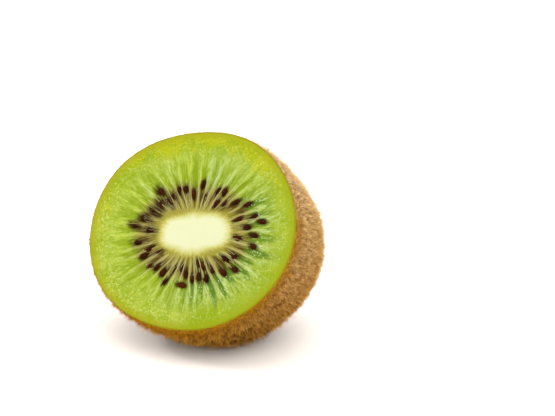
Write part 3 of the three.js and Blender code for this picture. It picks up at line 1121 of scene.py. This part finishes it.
class Tufts:
    """Small tufts that neighbouring hairs lean into"""

    def __init__(self, fruit, look):
        rng, number = np.random.default_rng(99), look.tufts
        roots, normals, tailward, row, _ = scatter(fruit, number, rng)
        # The hairs by the cut edge point every way, and those round the scar are short and stand up.
        depth, bare = fruit.depth(row[:, None]), smooth(0.83, 0.93, row[:, None])
        swirl = rng.normal(0, 0.9, (number, 1)) * (1 + 0.9 * smooth(2 * MM, 0.3 * MM, depth))
        comb = tailward * np.cos(swirl) + np.cross(normals, tailward) * np.sin(swirl)
        lift = np.clip(rng.normal(0.85, 0.3, (number, 1)), 0.1, 1.4)
        lift = lift * (0.4 + 0.6 * smooth(0, 2.5 * MM, depth)) + 0.5 * bare
        self.direction = normals * np.sin(lift) + comb * np.cos(lift)
        grown = (0.75 + 0.25 * smooth(0, 1.5 * MM, depth)) * (1 - 0.8 * bare)
        self.size = look.hair_length * grown * rng.uniform(0.6, 1.35, (number, 1))
        self.tips = roots + self.direction * self.size
        self.tone = np.clip(rng.normal(0.5, 0.14, number), 0, 1)
        self.tree = KDTree(number)
        for i, root in enumerate(roots):
            self.tree.insert(root, i)
        self.tree.balance()

    def nearest(self, points):
        return np.array([self.tree.find(point)[1] for point in points])


class KIWI_OT_fuzz(Operator):
    """Short golden hairs over the skin, bent towards the tail"""

    bl_idname = "kiwi.fuzz"
    bl_label = "Fuzz"

    sides = 3
    # Where a hair's bend lies in its colours, and how far it stands off as a share of the hair's length.
    bend_along, bend_off = 0.55, 0.14
    root_sink = 0.04 * MM
    ground_gap = 0.01 * MM
    # How much longer the proud hairs are, and how far they still lean into their tufts.
    proud_length, proud_gather = 1.35, 0.05

    def execute(self, context):
        look, fruit = context.scene.kiwi_fuzz, new_fruit(context)
        material, tufts = fuzz_material(look), Tufts(fruit, look)
        number = look.per_piece
        along = [*np.repeat([0, self.bend_along], self.sides), 1]
        for i in range(look.pieces):
            rng = np.random.default_rng(100 + i)
            roots, normals, _, row, at = scatter(fruit, number, rng)
            tuft = tufts.nearest(roots)
            direction = unit(tufts.direction[tuft] + rng.normal(0, 0.35, (number, 3)))
            size = tufts.size[tuft] * rng.uniform(0.6, 1.1, (number, 1))
            proud = rng.random((number, 1)) < look.proud
            size = np.where(proud, self.proud_length * size, size)
            gather = np.where(proud, self.proud_gather, rng.uniform(0.05, 0.5, (number, 1)))
            tips = (roots + direction * size) * (1 - gather) + tufts.tips[tuft] * gather
            # No hair reaches out in front of the cut.
            tips -= np.maximum((tips - fruit.origin) @ fruit.turn[:, 2:], 0) * fruit.turn[:, 2]
            middle = (roots + tips) / 2 + normals * size * self.bend_off
            paths = np.stack([roots - normals * self.root_sink, middle, tips], 1)
            radii = look.hair_radius * rng.uniform(0.7, 1.25, (number, 1)) * (1, 0.75)
            points, triangles = strands(paths, radii, self.sides)
            points[:, 2] = np.maximum(points[:, 2], NODE_LOW.z + self.ground_gap)
            tone = np.clip(tufts.tone[tuft] + rng.normal(-0.04, 0.22, number), 0, 1)
            new_piece(
                f"fuzz_{i + 1}",
                points,
                triangles,
                material,
                "fuzz",
                along=np.tile(along, number),
                tone=np.repeat(np.where(proud[:, 0], 1, tone), len(along)),
                rim=np.repeat(near_cut(fruit.depth(row), at), len(along)),
            )
        return {"FINISHED"}


# ---- stage

LIGHT_DISTANCE = 0.6


def turn_to(thing, direction):
    thing.rotation_mode = "QUATERNION"
    thing.rotation_quaternion = Vector(direction).to_track_quat("-Z", "Y")
    bpy.context.scene.collection.objects.link(thing)


def add_light(name, kind, direction, **settings):
    """A light that shines along a direction, through the middle of the half."""
    data = bpy.data.lights.new(name, kind)
    for key, value in settings.items():
        setattr(data, key, value)
    light = bpy.data.objects.new(name, data)
    light.location = Vector((0, 0, NODE_HIGH.z / 2)) - LIGHT_DISTANCE * Vector(direction).normalized()
    turn_to(light, direction)


def view_ahead(back, across, up, focal):
    """The camera's direction that puts a target beside the picture's middle, by pixels across and up."""
    ahead = -back
    for _ in range(6):
        right = ahead.cross(Vector((0, 0, 1))).normalized()
        ahead = (-back * focal - right * across - right.cross(ahead) * up).normalized()
    return ahead


class KIWI_OT_stage(Operator):
    """Pale floor, soft light and the camera"""

    bl_idname = "kiwi.stage"
    bl_label = "Stage"

    picture = (555, 416)
    face_pixel = (190.1, 228.5)
    pixels_per_mm = 4.49
    floor_half = 6.0
    sensor = 36

    def execute(self, context):
        look, scene, fruit = context.scene.kiwi_stage, context.scene, new_fruit(context)
        mesh, half = bpy.data.meshes.new("floor"), self.floor_half
        corners = [(x * half, y * half, NODE_LOW.z) for x, y in ((-1, -1), (1, -1), (1, 1), (-1, 1))]
        mesh.from_pydata(corners, [], [(0, 1, 2, 3)])
        mesh.materials.append(Shader("floor").finish(Base_Color=look.floor, Roughness=0.7))
        floor = bpy.data.objects.new("floor", mesh)
        scene.collection.objects.link(floor)

        scene.world = bpy.data.worlds.new("surroundings")
        scene.world.use_nodes = True
        background = scene.world.node_tree.nodes["Background"]
        background.inputs["Color"].default_value = (1, 1, 1, 1)
        background.inputs["Strength"].default_value = look.world
        scene.view_settings.view_transform = "Standard"
        add_light("key", "SUN", (-0.3, 0.05, -0.95), energy=look.key, angle=math.radians(80))
        add_light("fill", "SUN", (-0.45, 0.8, -0.4), energy=look.fill, angle=math.radians(60))
        add_light("window", "AREA", (0.75, 0.35, -0.6), energy=look.window, shape="DISK", size=0.12)

        a, e = look.azimuth, look.elevation
        back = Vector((math.sin(a) * math.cos(e), -math.cos(a) * math.cos(e), math.sin(e)))
        focal = self.pixels_per_mm * look.distance / MM
        data = bpy.data.cameras.new("camera")
        data.sensor_width = self.sensor
        data.lens = focal / self.picture[0] * self.sensor
        data.clip_start, data.clip_end = 0.01, 50
        camera = bpy.data.objects.new("camera", data)
        camera.location = Vector(fruit.origin) + back * look.distance
        across, up = self.face_pixel[0] - self.picture[0] / 2, self.picture[1] / 2 - self.face_pixel[1]
        turn_to(camera, view_ahead(back, across, up, focal))
        scene.camera = camera
        return {"FINISHED"}


# ---- add-on

GROUPS = {
    "kiwi_form": FruitForm,
    "kiwi_flesh": FleshLook,
    "kiwi_seeds": SeedLook,
    "kiwi_skin": SkinLook,
    "kiwi_fuzz": FuzzLook,
    "kiwi_stage": StageLook,
}
OPERATORS = (
    KIWI_OT_flesh,
    KIWI_OT_threads,
    KIWI_OT_seeds,
    KIWI_OT_skin,
    KIWI_OT_scar,
    KIWI_OT_fuzz,
    KIWI_OT_stage,
)


class KIWI_PT_parts(Panel):
    """The pieces of the half, in the order in which they are made"""

    bl_idname = "KIWI_PT_parts"
    bl_label = "Kiwi Fruit Half"
    bl_space_type = "VIEW_3D"
    bl_region_type = "UI"
    bl_category = "Kiwi"

    def draw(self, context):
        for operator in OPERATORS:
            self.layout.operator(operator.bl_idname)
        for key, group in GROUPS.items():
            box = self.layout.box()
            for name in group.__annotations__:
                box.prop(getattr(context.scene, key), name)


CLASSES = (*GROUPS.values(), *OPERATORS, KIWI_PT_parts)


def register():
    for item in CLASSES:
        bpy.utils.register_class(item)
    for key, group in GROUPS.items():
        setattr(bpy.types.Scene, key, PointerProperty(type=group))


def unregister():
    for key in GROUPS:
        delattr(bpy.types.Scene, key)
    for item in reversed(CLASSES):
        bpy.utils.unregister_class(item)


def main():
    register()
    bpy.ops.kiwi.flesh()
    bpy.ops.kiwi.threads()
    bpy.ops.kiwi.seeds()
    bpy.ops.kiwi.skin()
    bpy.ops.kiwi.scar()
    bpy.ops.kiwi.fuzz()
    bpy.ops.kiwi.stage()


if __name__ == "__main__":
    main()
